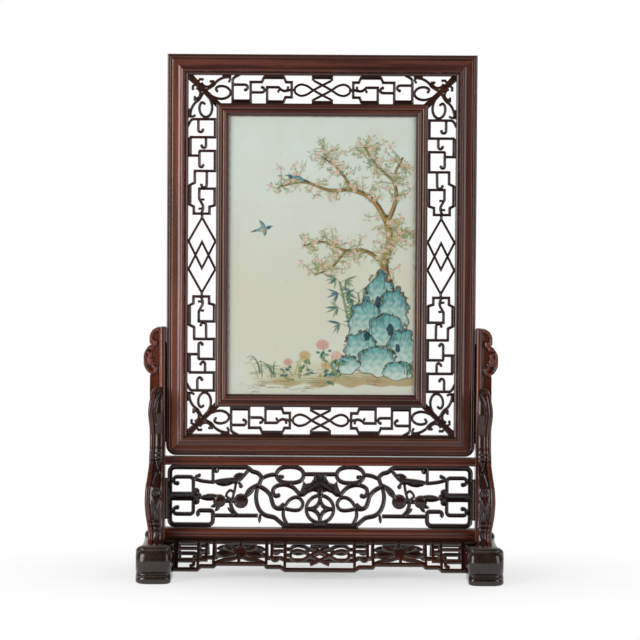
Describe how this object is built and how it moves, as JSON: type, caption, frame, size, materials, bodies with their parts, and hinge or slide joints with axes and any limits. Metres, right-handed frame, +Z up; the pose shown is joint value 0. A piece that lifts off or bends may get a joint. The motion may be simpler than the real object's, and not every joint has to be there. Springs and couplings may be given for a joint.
{
  "type": "table screen",
  "caption": "Rosewood table screen: a porcelain plaque in a double frame with pierced openwork, standing in the grooves of a carved stand with scroll feet and lifting out upwards.",
  "frame": {"origin": "middle of the stand on the floor plane, under the centre of the foot soles", "axes": "+Z up, +X to the right as seen from the painted face, +Y from the painted face to the back"},
  "size_m": [0.4694, 0.184, 0.678],
  "materials": {
    "rosewood": "polished reddish brown",
    "dark_rosewood": "polished dark brown",
    "board_wood": "plain, waxed",
    "porcelain": "glossy glaze with painted enamels"
  },
  "bodies": {
    "stand": {"post_left": "dark_rosewood", "post_right": "dark_rosewood", "foot_left": "dark_rosewood", "foot_right": "dark_rosewood", "bracket_front_left": "dark_rosewood", "bracket_front_right": "dark_rosewood", "bracket_back_left": "dark_rosewood", "bracket_back_right": "dark_rosewood", "upper_rail": "dark_rosewood", "lower_rail": "dark_rosewood", "pierced_panel": "dark_rosewood", "apron_front": "dark_rosewood", "apron_back": "dark_rosewood"},
    "screen_panel": {"frame_top_rail": "rosewood", "frame_bottom_rail": "rosewood", "frame_left_stile": "rosewood", "frame_right_stile": "rosewood", "inner_top_rail": "rosewood", "inner_bottom_rail": "rosewood", "inner_left_stile": "rosewood", "inner_right_stile": "rosewood", "fret_top": "rosewood", "fret_bottom": "rosewood", "fret_left": "rosewood", "fret_right": "rosewood", "corner_top_left": "rosewood", "corner_top_right": "rosewood", "corner_bottom_left": "rosewood", "corner_bottom_right": "rosewood", "plaque": "porcelain", "back_board": "board_wood"}
  },
  "joints": [
    {"name": "panel_lift", "type": "slide", "parent": "stand", "child": "screen_panel", "axis": [0, 0, 1], "range_m": [0, 0.18]}
  ]
}
